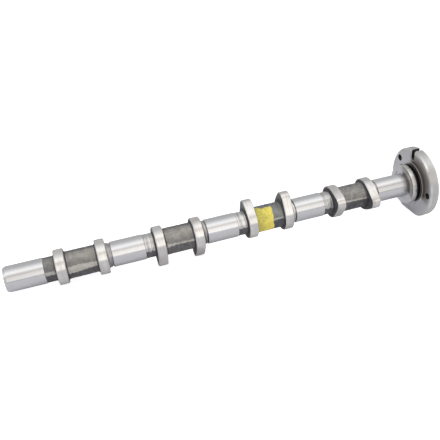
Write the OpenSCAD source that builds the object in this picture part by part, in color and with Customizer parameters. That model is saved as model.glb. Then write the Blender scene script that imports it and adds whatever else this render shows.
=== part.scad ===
// Camshaft of a four-cylinder engine with two valves of one kind in each cylinder.
// One casting, turned and ground: five journals, eight cams in four pairs, a thrust
// collar with its groove, and the flange that carries the drive wheel.
// The shaft lies along X, and X = 0 is the thrust face at the end of the last journal.
// The timing slot points up, and the flat on the flange's rim points down.

/* [Shaft] */
// Distance from one cylinder to the next
pitch = 100.5; // [98.5:0.1:106]
// Diameter of the ground journals
journal_d = 26.5; // [26:0.1:28]
// Length of the plain journal at the free end
first_journal = 38.4; // [20:0.2:60]
// Length of the journals between the cylinders
journal = 34.1; // [28:0.1:36]
// Length of the journal beside the thrust collar
last_journal = 38.4; // [30:0.2:50]
// Lead chamfer of the free end, along the shaft
lead_len = 2.4; // [0.5:0.1:6]
// Lead chamfer of the free end, towards the axis
lead_in = 0.9; // [0.3:0.1:2]
// Diameter of the turned necks beside the journals
neck_d = 25.4; // [22:0.1:25.8]
// Length of the neck from a journal to the next cam, towards the flange
neck = 10.8; // [6:0.1:12]
// Broken edges of the journals
edge = 0.4; // [0.1:0.1:0.8]
// Width of the undercut at a journal's free-end side
undercut = 1.5; // [0.5:0.1:2]
// Depth of the undercut below the neck
undercut_deep = 0.7; // [0.2:0.1:1.5]

/* [Casting] */
// Diameter of the raw shaft between the cams of a pair
raw_d = 28.2; // [26.5:0.1:31]
// Diameter of the raw neck after the first journal
raw_neck_d = 25.6; // [24:0.1:26.4]
// Fillet from the raw shaft up to a cam's side
root = 2; // [0.5:0.1:2.6]
// Width of the land that the trimmed mould joint left
joint_w = 3.2; // [1:0.1:6]
// Height of that land over the raw shaft
joint_h = 0.35; // [0.1:0.05:1]
// Direction of the mould joint about the shaft
joint_dir = 172; // [150:1:200]

/* [Cams] */
// Distance between the two cams of a pair
cam_gap = 41; // [36:0.1:43]
// Width of a cam
cam_w = 9.9; // [7:0.1:11]
// Diameter of the base circle
base_d = 36.2; // [35:0.1:40]
// Lift of the early cam of each pair
early_lift = 6.3; // [4:0.1:10]
// Lift of the late cam of each pair
late_lift = 8.3; // [4:0.1:10]
// Radius of the nose
nose_r = 8; // [5:0.1:12]
// Radius of the flanks
flank_r = 70; // [40:1:200]
// Angle that the early cam leads its pair by
early_lead = 20; // [0:0.5:40]
// Angle that the late cam follows its pair by
late_lag = 2; // [0:0.5:40]
// Broken edges of the cams
cam_edge = 0.7; // [0.1:0.1:1]

/* [Flange] */
// Diameter of the thrust collar
collar_d = 46.6; // [42:0.2:56]
// Width of the thrust collar
collar_w = 5.2; // [3:0.1:10]
// Width of the thrust groove
groove_w = 4.5; // [3:0.1:8]
// Diameter of the thrust groove's floor
groove_d = 36; // [30:0.5:40]
// Diameter of the hub that stands out of the flange
hub_d = 51; // [44:0.5:54]
// Height of the hub over the flange
hub_h = 2; // [0.5:0.1:5]
// Diameter of the flange
flange_d = 81; // [77:0.5:95]
// Thickness of the flange
flange_t = 10; // [6:0.1:16]
// Bevel on the rim's inner edge
bevel = 1.5; // [0.3:0.1:3]
// Bevel on the rim's outer edge
back_bevel = 0.6; // [0.2:0.1:2]
// Broken edges of the collar and the hub
collar_edge = 0.5; // [0.1:0.1:1]
// Depth of the flat into the rim
flat_cut = 3.8; // [0.5:0.1:6]
// Width of the timing slot
slot_w = 5.6; // [4.2:0.1:10]
// Metal between the floor of the timing slot and the hub
slot_foot = 3.5; // [1:0.1:6]
// Metal between a bolt hole and the rim
rim_wall = 3.9; // [2.6:0.1:6]
// Core diameter of the bolt holes' thread
bolt_d = 6.8; // [5:0.1:8]
// Chamfer at the mouths of the bolt holes
bolt_edge = 0.4; // [0.1:0.1:1]
// Width of the relief round the last journal
relief_w = 3.8; // [1:0.1:6]
// Depth of the relief into the thrust face
relief_deep = 0.8; // [0.2:0.1:2]

/* [Centre holes] */
// Diameter of the pilot drilling
centre_d = 4; // [2:0.1:6]
// Diameter of the cone's mouth
centre_mouth = 8.5; // [7:0.1:14]
// Depth of the whole centre hole
centre_deep = 9; // [8:0.5:20]

/* [Hidden] */
$fn = 96;
journal_r = journal_d / 2;
base_r = base_d / 2;
flange_r = flange_d / 2;
// Place of each cylinder's pair in the working order, a quarter turn apart
order = [0, 3, 1, 2];
quarter = 90;
// Bolt holes, as angles about the shaft from +Y towards +Z, with the timing slot at the top
bolt_dirs = [40, 184, 292];
bolt_circle_r = flange_r - rim_wall - bolt_d / 2;
// Half the angle of a centre hole's cone, and of the drill's point behind it
cone_half = 30;
drill_half = 59;
// Faces along the shaft, from the thrust face towards the drive wheel
groove_x = collar_w;
hub_x = groove_x + groove_w;
flange_x = hub_x + hub_h;
end_x = flange_x + flange_t;
// Middle of a pair of cams, and the outer sides of its two cams
short_neck = pitch - cam_gap - cam_w - journal - neck;
last_pair = -last_journal - short_neck - (cam_gap + cam_w) / 2;
function pair_x(i) = last_pair - (3 - i) * pitch;
function left_x(i) = pair_x(i) - (cam_gap + cam_w) / 2;
function right_x(i) = pair_x(i) + (cam_gap + cam_w) / 2;
first_x = left_x(0) - neck - first_journal;
// Overlap that lets neighbouring solids join
lap = 1;
// How far the flanks lie under a perfect tangent, so that the arcs cross cleanly
sink = 0.01;
// Steps of the small fillets round the roots of the cams
fillet_steps = 32;

// A shape drawn on its own axis, laid along X
module along() {
    rotate([0, 90, 0]) children();
}

// Half section of a plain stretch with a chamfer at each end
module stretch(x0, x1, r, c0 = 0, c1 = 0) {
    polygon([[0, x0], [r - c0, x0], [r, x0 + c0], [r, x1 - c1], [r - c1, x1], [0, x1]]);
}

// Half section of the fillet between a stretch and a wall, on the wall's side "way"
module fillet(x, r, way) {
    mirror([0, way < 0 ? 1 : 0])
        translate([0, way * x])
            difference() {
                translate([r - lap, -lap]) square([root + lap, root + lap]);
                translate([r + root, root]) circle(r = root, $fn = fillet_steps);
            }
}

// Half section of the journals and necks
module turned_section() {
    first_end = first_x + first_journal;
    polygon([[0, first_x], [journal_r - lead_in, first_x], [journal_r, first_x + lead_len],
             [journal_r, first_end - edge], [journal_r - edge, first_end], [0, first_end]]);
    for (i = [0:3]) {
        far = i < 3 ? left_x(i + 1) - neck : relief_deep;
        near = right_x(i) + short_neck;
        stretch(near, far, journal_r, edge, i < 3 ? edge : 0);
        stretch(right_x(i) - lap, near - undercut, neck_d / 2);
        stretch(near - undercut - lap, near + lap, neck_d / 2 - undercut_deep);
        if (i < 3) stretch(far - lap, left_x(i + 1) + lap, neck_d / 2);
        fillet(right_x(i), neck_d / 2, 1);
        if (i > 0) fillet(left_x(i), neck_d / 2, -1);
    }
}

// Half section of the stretches that stay as cast
module raw_section() {
    stretch(left_x(0) - neck - lap, left_x(0) + lap, raw_neck_d / 2);
    fillet(left_x(0), raw_neck_d / 2, -1);
    for (i = [0:3]) {
        stretch(left_x(i) + lap, right_x(i) - lap, raw_d / 2);
        fillet(left_x(i) + cam_w, raw_d / 2, 1);
        fillet(right_x(i) - cam_w, raw_d / 2, -1);
    }
}

// Half section of the collar, its groove, the hub and the flange
module flange_section() {
    difference() {
        stretch(0, groove_x, collar_d / 2, collar_edge, collar_edge);
        translate([journal_r, -lap]) square([relief_w, relief_deep + lap]);
    }
    stretch(groove_x - lap, hub_x + lap, groove_d / 2);
    stretch(hub_x, flange_x + lap, hub_d / 2, collar_edge, 0);
    stretch(flange_x, end_x, flange_r, bevel, back_bevel);
}

// Lands left on both sides where the halves of the mould met
module joint_lands() {
    land = raw_d + 2 * joint_h;
    for (i = [0:3])
        translate([pair_x(i) - cam_gap / 2, 0, 0]) rotate([joint_dir, 0, 0])
            translate([0, -land / 2, -joint_w / 2]) cube([cam_gap, land, joint_w]);
}

// A disc of the cam's width with broken edges
module cam_disc(r) {
    rotate_extrude() stretch(0, cam_w, r, cam_edge, cam_edge);
}

// One cam: base circle, nose, and two flanks that run into both without a corner.
// The flank's centre is "reach" behind the base circle's, on the line through its end.
module cam(x, dir, lift) {
    nose_y = base_r + lift - nose_r;
    step = base_r - nose_r;
    reach = flank_r - base_r;
    half = acos((step * step + 2 * reach * step - nose_y * nose_y) / (2 * reach * nose_y));
    nose_end = atan2(nose_y + reach * cos(half), reach * sin(half));
    over = 1.2;
    base_x = over * base_r * sin(half);
    base_y = over * base_r * cos(half);
    tip_x = over * nose_r * cos(nose_end);
    tip_y = nose_y + over * nose_r * sin(nose_end);
    translate([x, 0, 0]) along() rotate([0, 0, dir])
        union() {
            cam_disc(base_r);
            translate([0, nose_y, 0]) cam_disc(nose_r);
            intersection() {
                flank_disc(reach, half, -1);
                flank_disc(reach, half, 1);
                linear_extrude(height = cam_w)
                    polygon([[0, 0], [base_x, base_y], [tip_x, tip_y], [0, nose_y],
                             [-tip_x, tip_y], [-base_x, base_y]]);
            }
        }
}

// The disc whose edge is one flank
module flank_disc(reach, half, way) {
    translate([way * reach * sin(half), -reach * cos(half), 0]) cam_disc(flank_r - sink);
}

// The two cams of every pair
module cams() {
    for (i = [0:3]) {
        cam(left_x(i), order[i] * quarter - early_lead, early_lift);
        cam(right_x(i) - cam_w, order[i] * quarter + late_lag, late_lift);
    }
}

// A bolt hole with both mouths chamfered
module bolt_hole(dir) {
    r = bolt_d / 2;
    rotate([dir, 0, 0]) translate([0, bolt_circle_r, 0]) along() {
        translate([0, 0, flange_x - lap]) cylinder(d = bolt_d, h = flange_t + 2 * lap);
        translate([0, 0, flange_x]) cylinder(r1 = r + bolt_edge, r2 = r, h = bolt_edge);
        translate([0, 0, end_x - bolt_edge]) cylinder(r1 = r, r2 = r + bolt_edge, h = bolt_edge);
    }
}

// Slot across the rim, with the round floor that an end mill leaves
module timing_slot() {
    round_z = hub_d / 2 + slot_foot + slot_w / 2;
    translate([flange_x - lap, -slot_w / 2, round_z])
        cube([flange_t + 2 * lap, slot_w, flange_r - round_z + lap]);
    translate([flange_x - lap, 0, round_z]) along() cylinder(d = slot_w, h = flange_t + 2 * lap);
}

// Flat on the rim, opposite the slot
module rim_flat() {
    translate([flange_x - lap, -flange_r, -flange_r - lap])
        cube([flange_t + 2 * lap, flange_d, flat_cut + lap]);
}

// Centre drilling that the shaft is turned and ground between, half section
module centre_section() {
    mouth = centre_mouth / 2;
    pilot = centre_d / 2;
    deep = (mouth - pilot) / tan(cone_half);
    polygon([[0, -lap], [mouth + lap * tan(cone_half), -lap], [pilot, deep], [pilot, centre_deep],
             [0, centre_deep + pilot / tan(drill_half)]]);
}

// The whole camshaft, one casting
module camshaft() {
    color("silver")
        difference() {
            union() {
                along() rotate_extrude() {
                    turned_section();
                    raw_section();
                    flange_section();
                }
                joint_lands();
                cams();
            }
            for (dir = bolt_dirs) bolt_hole(dir);
            timing_slot();
            rim_flat();
            translate([first_x, 0, 0]) along() rotate_extrude() centre_section();
            translate([end_x, 0, 0]) mirror([1, 0, 0]) along() rotate_extrude() centre_section();
        }
}

camshaft();
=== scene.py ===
# %% [markdown]
# # A camshaft with eight cams and a drive flange
# A camshaft opens the valves of an engine. The bar is cast in iron with the cams on it, and then
# the journals, the cams and the flange are turned and ground. What lies between the two cams of a
# pair is never touched again, so it keeps the rough skin of the mould. That contrast of bright
# ground bands and dull cast skin is what this lesson is about.

import bpy
import numpy as np
from mathutils import Matrix
from mathutils.geometry import tessellate_polygon


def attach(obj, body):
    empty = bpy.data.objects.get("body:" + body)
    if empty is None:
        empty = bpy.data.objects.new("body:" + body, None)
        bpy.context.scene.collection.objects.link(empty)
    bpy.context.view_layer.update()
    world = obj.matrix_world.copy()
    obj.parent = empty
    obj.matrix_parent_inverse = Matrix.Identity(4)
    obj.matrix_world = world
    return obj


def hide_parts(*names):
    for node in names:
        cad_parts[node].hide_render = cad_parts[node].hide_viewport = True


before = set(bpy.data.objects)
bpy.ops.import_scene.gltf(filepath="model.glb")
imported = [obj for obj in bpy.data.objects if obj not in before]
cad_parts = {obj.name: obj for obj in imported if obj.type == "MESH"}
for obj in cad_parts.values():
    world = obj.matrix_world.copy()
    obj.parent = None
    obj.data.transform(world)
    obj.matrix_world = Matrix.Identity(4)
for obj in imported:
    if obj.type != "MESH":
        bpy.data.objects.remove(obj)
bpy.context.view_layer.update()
print("CAD nodes:", sorted(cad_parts))

# %% [markdown]
# ## The camera first
# The camera is set before anything is made, so that every later choice can be judged in the same
# picture. Its turn, its rise and its roll are angles about the shaft, which lies along X. A product
# photograph like this one is framed a little off the middle of the lens, which Blender calls shift.

# %% Camera
MM = 0.001
FRAME_PX = 440
FOCAL_PX = 592.881
SENSOR_MM = 36.0
TURN, RISE, ROLL = np.radians([16.3891, 30.4748, 4.8749])
EYE_MM = (-358.3204, -525.5753, 332.3352)
MIDDLE_PX = (236.2185, 216.2907)

forward = np.array([np.sin(TURN) * np.cos(RISE), np.cos(TURN) * np.cos(RISE), -np.sin(RISE)])
level = np.array([np.cos(TURN), -np.sin(TURN), 0.0])
under = np.cross(forward, level)
right = np.cos(ROLL) * level + np.sin(ROLL) * under
down = -np.sin(ROLL) * level + np.cos(ROLL) * under

lens = bpy.data.cameras.new("camera")
lens.sensor_width = SENSOR_MM
lens.lens = FOCAL_PX * SENSOR_MM / FRAME_PX
lens.shift_x = -(MIDDLE_PX[0] - FRAME_PX / 2) / FRAME_PX
lens.shift_y = (MIDDLE_PX[1] - FRAME_PX / 2) / FRAME_PX
lens.clip_start, lens.clip_end = 0.05, 20.0
camera = bpy.data.objects.new("camera", lens)
columns = np.stack([right, -down, -forward, np.array(EYE_MM) * MM], axis=1)
camera.matrix_world = Matrix([*columns.tolist(), [0.0, 0.0, 0.0, 1.0]])
bpy.context.scene.collection.objects.link(camera)
bpy.context.scene.camera = camera
bpy.context.scene.view_settings.view_transform = "Standard"
print(f"lens {lens.lens:.2f} mm, shift {lens.shift_x:.4f} {lens.shift_y:.4f}")

# %% [markdown]
# ## The sizes of the shaft
# All sizes are in millimetres and are those of the CAD model. X runs along the shaft, and X = 0 is
# the thrust face, where the last journal meets the collar. The angle round the shaft is counted
# from +Y, which points away from the camera, towards +Z, which points up.

# %% Sizes
PITCH = 100.5  # from cylinder to cylinder
JOURNAL_R, NECK_R, RAW_NECK_R, RAW_R = 13.25, 12.7, 12.8, 14.1
FIRST_JOURNAL = LAST_JOURNAL = 38.4
CAM_W, CAM_GAP, SHORT_NECK, NECK = 9.9, 41.0, 4.7, 10.8
ROOT, EDGE, CAM_EDGE = 2.0, 0.4, 0.7  # the fillets of the casting and the broken edges
UNDERCUT_W, UNDERCUT_DEEP = 1.5, 0.7
BASE_R, NOSE_R, FLANK_R = 18.1, 8.0, 70.0
EARLY_LIFT, LATE_LIFT, EARLY_LEAD, LATE_LAG = 6.3, 8.3, 20.0, 2.0
ORDER = (0, 3, 1, 2)  # how many quarter turns each pair comes after the first
COLLAR_R, COLLAR_W, GROOVE_R, GROOVE_W = 23.3, 5.2, 18.0, 4.5
HUB_R, HUB_H, FLANGE_R, FLANGE_T = 25.5, 2.0, 40.5, 10.0
FLANGE_X = COLLAR_W + GROOVE_W + HUB_H
END_X = FLANGE_X + FLANGE_T
LAP = 1.0  # how far one skin reaches under the next

right_x = [-LAST_JOURNAL - SHORT_NECK - (3 - i) * PITCH for i in range(4)]
left_x = [x - CAM_GAP - CAM_W for x in right_x]
first_x = left_x[0] - NECK - FIRST_JOURNAL
print(f"shaft from X {first_x:.1f} to {END_X:.1f} mm")

# %% [markdown]
# ## How a piece is handed in
# Every piece is a mesh whose points are worked out in millimetres. Its object stays at the origin,
# with the place of the piece in the mesh itself, and it rides with the casting. Edges sharper than
# an angle stay crisp, and everything else is shaded smooth.

# %% Pieces


def hand_in(name, points, faces, materials, face_material, crease):
    """Makes a mesh piece from points in mm, at the origin, and lets it ride with the casting."""
    mesh = bpy.data.meshes.new(name)
    mesh.from_pydata((np.asarray(points) * MM).tolist(), [], faces)
    for m in materials:
        mesh.materials.append(m)
    mesh.polygons.foreach_set("material_index", np.asarray(face_material, np.int32))
    mesh.shade_smooth()
    mesh.set_sharp_from_angle(angle=np.radians(crease))
    mesh.validate()
    piece = bpy.data.objects.new(name, mesh)
    bpy.context.scene.collection.objects.link(piece)
    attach(piece, "root")
    return piece


print("a piece is made in mm and handed in at", MM, "m each")

# %% [markdown]
# ## One helper for every turned skin
# A lathe makes a surface that is a radius for every place along the shaft and every angle round
# it. The same grid serves cams and cast skin too, if the radius may change with the angle. The
# helper takes such rings, closes both ends on the axis and gives each band between two rings its
# material.

# %% Turned skins
AROUND = 256
angle = np.arange(AROUND) * 2 * np.pi / AROUND


def grid_faces(rows, columns, closed=True):
    """Quads (k, j), (k, j+1), (k+1, j+1), (k+1, j) of a grid, whose ends join if it is closed."""
    steps = columns if closed else columns - 1
    k, j = np.meshgrid(np.arange(rows - 1), np.arange(steps), indexing="ij")
    here, after = k * columns + j, k * columns + (j + 1) % columns
    return np.stack([here, after, after + columns, here + columns], -1).reshape(-1, 4)


def all_round(rings):
    """An array of rings by angles; a ring that is a single number has it all round."""
    return np.stack([np.broadcast_to(np.asarray(ring, float), AROUND) for ring in rings])


def turned(name, x, r, materials, bands, crease=30.0, values=None):
    """A closed skin round the X axis.

    Point (k, j) = (x[k, j], r[k, j] cos a, r[k, j] sin a), with a the angle of place j. Both ends
    are closed with a fan to a point on the axis. bands[k] is the material of the strip after ring k.
    """
    rows, x, r = len(r), all_round(x), all_round(r)
    rings = np.stack([x, r * np.cos(angle), r * np.sin(angle)], -1).reshape(-1, 3)
    poles = np.array([[x[0].mean(), 0, 0], [x[-1].mean(), 0, 0]])
    here = np.arange(AROUND)
    after = (here + 1) % AROUND
    last = (rows - 1) * AROUND
    fan_0 = np.stack([np.full(AROUND, rows * AROUND), after, here], -1)
    fan_1 = np.stack([np.full(AROUND, rows * AROUND + 1), last + here, last + after], -1)
    faces = grid_faces(rows, AROUND).tolist() + fan_0.tolist() + fan_1.tolist()
    which = np.repeat([*bands, bands[0], bands[-1]], AROUND)
    piece = hand_in(name, np.concatenate([rings, poles]), faces, materials, which, crease)
    for key, field in (values or {}).items():
        store = piece.data.attributes.new(key, "FLOAT", "POINT")
        store.data.foreach_set("value", np.concatenate([field.ravel(), [0.0, 0.0]]).astype(np.float32))
    return piece


print("points in a ring:", AROUND)

# %% [markdown]
# ## Random swellings and soft edges
# A cast skin swells and dips without a pattern, and its colour does too. The mean of many waves in
# random directions is such a field. It is read at the points of the surface, so it has no seam, and
# a fixed seed gives the same field in every run. The soft step turns a field into an edge.

# %% Fields
WAVES = 24
STRETCH = 3.0  # the mean of so many waves is small, so it is brought back to about -1 to 1


def swell(points, size, seed):
    """A smooth random field between about -1 and 1: the mean of cosines of about that length in mm."""
    rng = np.random.default_rng(seed)
    way = rng.normal(size=(WAVES, 3))
    way *= (2 * np.pi / (size * rng.uniform(0.7, 1.5, WAVES)) / np.linalg.norm(way, axis=1))[:, None]
    return np.cos(points @ way.T + rng.uniform(0, 2 * np.pi, WAVES)).mean(-1) * STRETCH


def step_up(value, soft):
    """0 below the edge and 1 above it, with a ramp t^2 (3 - 2t) of that width between."""
    t = np.clip(value / soft + 0.5, 0, 1)
    return t * t * (3 - 2 * t)


print("a soft step at its edge:", step_up(0.0, 1.0))

# %% [markdown]
# ## Materials: one small helper
# Every finish below is a Principled shader with a few nodes in front of it. Colours are written as
# the hex values that a colour picker gives and are turned into the linear values that light obeys.
# One function adds a node, sets its values and joins its inputs. A colour ramp turns a noise into
# the colours of a surface, and it gets its stops in the same call.

# %% Material helpers


def srgb(hex_colour):
    """Linear colour of an sRGB hex value: c/12.92 below 0.04045, else ((c+0.055)/1.055)^2.4."""
    c = np.array([int(hex_colour[i:i + 2], 16) for i in (1, 3, 5)]) / 255
    return (*np.where(c <= 0.04045, c / 12.92, ((c + 0.055) / 1.055) ** 2.4).tolist(), 1.0)


def add(tree, kind, settings=None, stops=(), **inputs):
    """Adds a node, sets its properties and fills its sockets with values or links.

    A socket goes by its name, with _ for a space, or by its number, as i0, i1 and so on. A node that
    is given as a value stands for its first output. The stops of a colour ramp are pairs of a place
    and a colour, which is a hex value or three linear values.
    """
    node = tree.nodes.new("ShaderNode" + kind)
    for key, value in (settings or {}).items():
        setattr(node, key, value)
    bar = node.color_ramp.elements if stops else []
    while len(bar) < len(stops):
        bar.new(0.5)
    for element, (place, colour) in zip(bar, stops):
        element.position = place
        element.color = srgb(colour) if isinstance(colour, str) else (*colour, 1.0)
    for key, value in inputs.items():
        numbered = key[0] == "i" and key[1:].isdigit()
        socket = node.inputs[int(key[1:]) if numbered else key.replace("_", " ")]
        if isinstance(value, bpy.types.Node):
            value = value.outputs[0]
        if isinstance(value, bpy.types.NodeSocket):
            tree.links.new(value, socket)
        else:
            socket.default_value = value
    return node


def new_material(name):
    """A material with an empty node tree, and that tree."""
    material = bpy.data.materials.new(name)
    material.use_nodes = True
    tree = material.node_tree
    tree.nodes.clear()
    return material, tree


print(f"the grey #808080 is {srgb('#808080')[0]:.3f} in linear light")

# %% [markdown]
# ## The lines of a tool
# A tool that cuts round the shaft leaves lines round it, and such a surface draws its reflections
# out across them. The shader calls that anisotropy, and a Tangent node tells it which way the lines
# run. The lines themselves are a noise that is squeezed along the shaft.

# %% Tool lines
LINE_WAVES = 25  # per metre across the shaft, so few that each line runs far round it


def draw_out(tree, skin, amount):
    """Draws the reflections of a shader out across lines that run round the X axis."""
    skin.inputs["Anisotropic"].default_value = amount
    skin.inputs["Anisotropic Rotation"].default_value = 0.25
    lines = add(tree, "Tangent", {"direction_type": "RADIAL", "axis": "X"}).outputs["Tangent"]
    tree.links.new(lines, skin.inputs["Tangent"])


def tool_lines(tree, place, line_mm, rough):
    """Noise of that length along X and stretched far round it, so that it looks like a tool's lines."""
    lines = add(tree, "Mapping", Vector=place, Scale=(1 / line_mm / MM, LINE_WAVES, LINE_WAVES))
    return add(tree, "TexNoise", Vector=lines, Scale=1.0, Detail=3.0, Roughness=rough)


print("one wave of a tool's line is", 1000 / LINE_WAVES, "mm long")

# %% [markdown]
# ## Bright ground iron
# Journals run in bearings, so they are cylindrically ground and then polished with a stone. The
# wheel leaves lines that go round the shaft, a few thousandths of a millimetre apart, far too fine
# to show. They are drawn half a millimetre apart and very faint. The cams are ground too but not
# polished, and the rim of the flange, which is only turned, is coarser still.

# %% Ground and turned finishes
LINE_SHARE = 0.4  # of the tool's lines in the variation of a finish


def machined(name, light, shade, rough, line_mm, depth_mm, scatter, cloudy=0.35, drawn=0.0):
    """Iron cut or ground while it turns, so it has fine lines round X.

    "cloudy" is the share of the broad, soft variation that handling and oil leave on the metal, and
    "drawn" stretches the reflections along the shaft, across the lines of the wheel.
    """
    material, tree = new_material(name)
    place = add(tree, "TexCoord").outputs["Object"]
    fine = tool_lines(tree, place, line_mm, 0.6)
    broad = add(tree, "TexNoise", Vector=place, Scale=90.0, Detail=4.0, Roughness=0.55)
    rest = 0.5 * (1 - cloudy - LINE_SHARE)
    both = add(tree, "Math", {"operation": "MULTIPLY_ADD"}, i0=broad, i1=cloudy, i2=rest)
    both = add(tree, "Math", {"operation": "MULTIPLY_ADD"}, i0=fine, i1=LINE_SHARE, i2=both)
    colour = add(tree, "ValToRGB", stops=[(0.35, shade), (0.65, light)], Fac=both)
    dull = add(tree, "MapRange", i0=both, i1=0.35, i2=0.65, i3=rough + scatter, i4=rough - scatter)
    bump = add(tree, "Bump", Strength=1.0, Distance=depth_mm * MM, Height=fine)
    skin = add(tree, "BsdfPrincipled", Metallic=1.0, Base_Color=colour, Roughness=dull, Normal=bump)
    if drawn:
        draw_out(tree, skin, drawn)
    add(tree, "OutputMaterial", Surface=skin)
    return material


# Ground and polished iron: bright, almost without lines, its highlights drawn out along the shaft
ground_journal = machined("ground_iron_journal", "#cfcfd0", "#c6c6c7", rough=0.21, line_mm=0.5,
                          depth_mm=0.0008, scatter=0.015, cloudy=0.2, drawn=0.8)
# Ground iron left as it is: as bright, with soft clouds and lines that break the highlight up
ground_cam = machined("ground_iron_cam", "#dfddda", "#bbb8b6", rough=0.21, line_mm=0.7,
                      depth_mm=0.006, scatter=0.04, cloudy=0.4)
# Turned iron: a duller, greyer band in which the lines of the tool can be seen
turned_rim = machined("turned_iron_rim", "#c8c8c6", "#b0b0ae", rough=0.36, line_mm=0.7,
                      depth_mm=0.02, scatter=0.05)
print("machined finishes:", ground_journal.name, ground_cam.name, turned_rim.name)

# %% [markdown]
# ## Black painted shade
# The thrust groove, the slot and the threads lie in shade, and that shade is painted on them as a
# near black. It could be made as dark bare metal, but that would still mirror the room. Here it is
# less than half metallic and half dull, which gives the eye a black with only a faint sheen.

# %% Black painted shade
shade_black, tree = new_material("iron_black_painted_shade")
place = add(tree, "TexCoord").outputs["Object"]
shade_noise = add(tree, "TexNoise", Vector=place, Scale=600.0, Detail=3.0, Roughness=0.6)
colour = add(tree, "ValToRGB", stops=[(0.35, "#151517"), (0.7, "#34302e")], Fac=shade_noise)
dull = add(tree, "MapRange", i0=shade_noise, i1=0.3, i2=0.7, i3=0.62, i4=0.42)
skin = add(tree, "BsdfPrincipled", Metallic=0.4, Base_Color=colour, Roughness=dull)
add(tree, "OutputMaterial", Surface=skin)
print("blackened finish:", shade_black.name)

# %% [markdown]
# ## Turned faces, clean and with painted shade
# A face cut on a lathe has rings about the axis, and they draw its reflections out along the
# radius. Rings of a few tenths of a millimetre are too fine to show, so they are drawn 0.7 mm apart
# on the shaded faces and 2.2 mm on the clean ones. The inner faces at the driven end were never
# polished, and they carry painted shade and painted dark reflections. An image could be laid on
# them, but the painted shade follows the shape: it is a function of the distance from the axis and
# of the angle round it. It is black in the relief and where the hub rises, deep on the side towards
# the viewer, and fades to nothing on the far side.

# %% Turned faces
# Painted shade: the direction round the shaft where it is deepest, and where its fading starts and ends
STAIN_DIR, SHADE_FULL, SHADE_END = np.radians([143.0, 50.0, 68.0])
# How deep the painted shade is at each distance from the axis, in mm
STAIN = ((13.0, 0.85), (15.3, 0.85), (15.9, 0.35), (20.2, 0.35), (21.6, 0.7), (22.4, 0.7), (23.0, 0.2),
         (23.4, 0.2), (23.6, 1.0), (24.9, 1.0), (25.4, 0.55), (25.7, 0.98), (27.2, 0.9), (29.0, 0.76),
         (31.0, 0.69), (33.0, 0.58), (35.0, 0.46), (36.0, 0.28), (37.2, 0.0))
SHADE_STOPS = [(distance / FLANGE_R, (deep, deep, deep)) for distance, deep in STAIN]
FACE_COLOURS = [(0.0, "#dedee0"), (0.35, "#bab7b5"), (0.75, "#8d8783"), (1.0, "#1c1a1a")]


def turned_face(name, painted_shade, rings_per_m, contrast, rest, drawn=0.0):
    """Iron faced on a lathe: rings about X by the distance sqrt(y^2 + z^2), with painted shade on them.

    The painted shade is the given amount times its depth at that distance, times a share that falls
    off with the angle from the shaded direction. The rings add "contrast" times a noise, and "rest"
    sets the level without shade.
    """
    material, tree = new_material(name)
    yz = add(tree, "SeparateXYZ", Vector=add(tree, "TexCoord").outputs["Object"])
    y, z = yz.outputs["Y"], yz.outputs["Z"]
    out = add(tree, "Math", {"operation": "MULTIPLY"}, i0=y, i1=y)
    out = add(tree, "Math", {"operation": "MULTIPLY_ADD"}, i0=z, i1=z, i2=out)
    out = add(tree, "Math", {"operation": "SQRT"}, i0=out)
    rings = add(tree, "CombineXYZ", X=out)
    rings = add(tree, "TexNoise", Vector=rings, Scale=rings_per_m, Detail=3.0, Roughness=0.6)
    turn = add(tree, "Math", {"operation": "ARCTAN2"}, i0=z, i1=y)
    off = add(tree, "Math", {"operation": "SUBTRACT"}, i0=turn, i1=STAIN_DIR)
    off = add(tree, "Math", {"operation": "WRAP"}, i0=off, i1=np.pi, i2=-np.pi)
    off = add(tree, "Math", {"operation": "ABSOLUTE"}, i0=off)
    facing = add(tree, "MapRange", {"interpolation_type": "SMOOTHSTEP"}, i0=off, i1=SHADE_FULL,
                 i2=SHADE_END, i3=painted_shade, i4=0.0)
    reach = add(tree, "MapRange", i0=out, i2=FLANGE_R * MM)
    depth = add(tree, "ValToRGB", stops=SHADE_STOPS, Fac=reach)
    stain = add(tree, "Math", {"operation": "MULTIPLY"}, i0=facing, i1=depth)
    stain = add(tree, "Math", {"operation": "MULTIPLY_ADD"}, i0=rings, i1=contrast, i2=stain)
    level = rest - contrast / 2
    stain = add(tree, "Math", {"operation": "ADD", "use_clamp": True}, i0=stain, i1=level)
    colour = add(tree, "ValToRGB", stops=FACE_COLOURS, Fac=stain)
    metal = add(tree, "MapRange", i0=stain, i1=0.3, i2=1.0, i3=1.0, i4=0.5)
    bump = add(tree, "Bump", Strength=0.4, Distance=0.01 * MM, Height=rings)
    skin = add(tree, "BsdfPrincipled", Metallic=metal, Base_Color=colour, Roughness=0.4, Normal=bump)
    if drawn:
        draw_out(tree, skin, drawn)
    add(tree, "OutputMaterial", Surface=skin)
    return material


# Turned iron with painted shade and painted dark reflection: bright on the far side, brown-black
# towards the viewer
stained = turned_face("turned_stained_iron_face", painted_shade=1.0, rings_per_m=1400.0, contrast=0.16, rest=0.0)
# Turned iron wiped clean: rings of lighter and darker grey, with a highlight drawn out across them
clean_face = turned_face("turned_iron_face", painted_shade=0.0, rings_per_m=450.0, contrast=0.9, rest=0.2,
                         drawn=0.6)
print("turned faces:", stained.name, clean_face.name)
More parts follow.
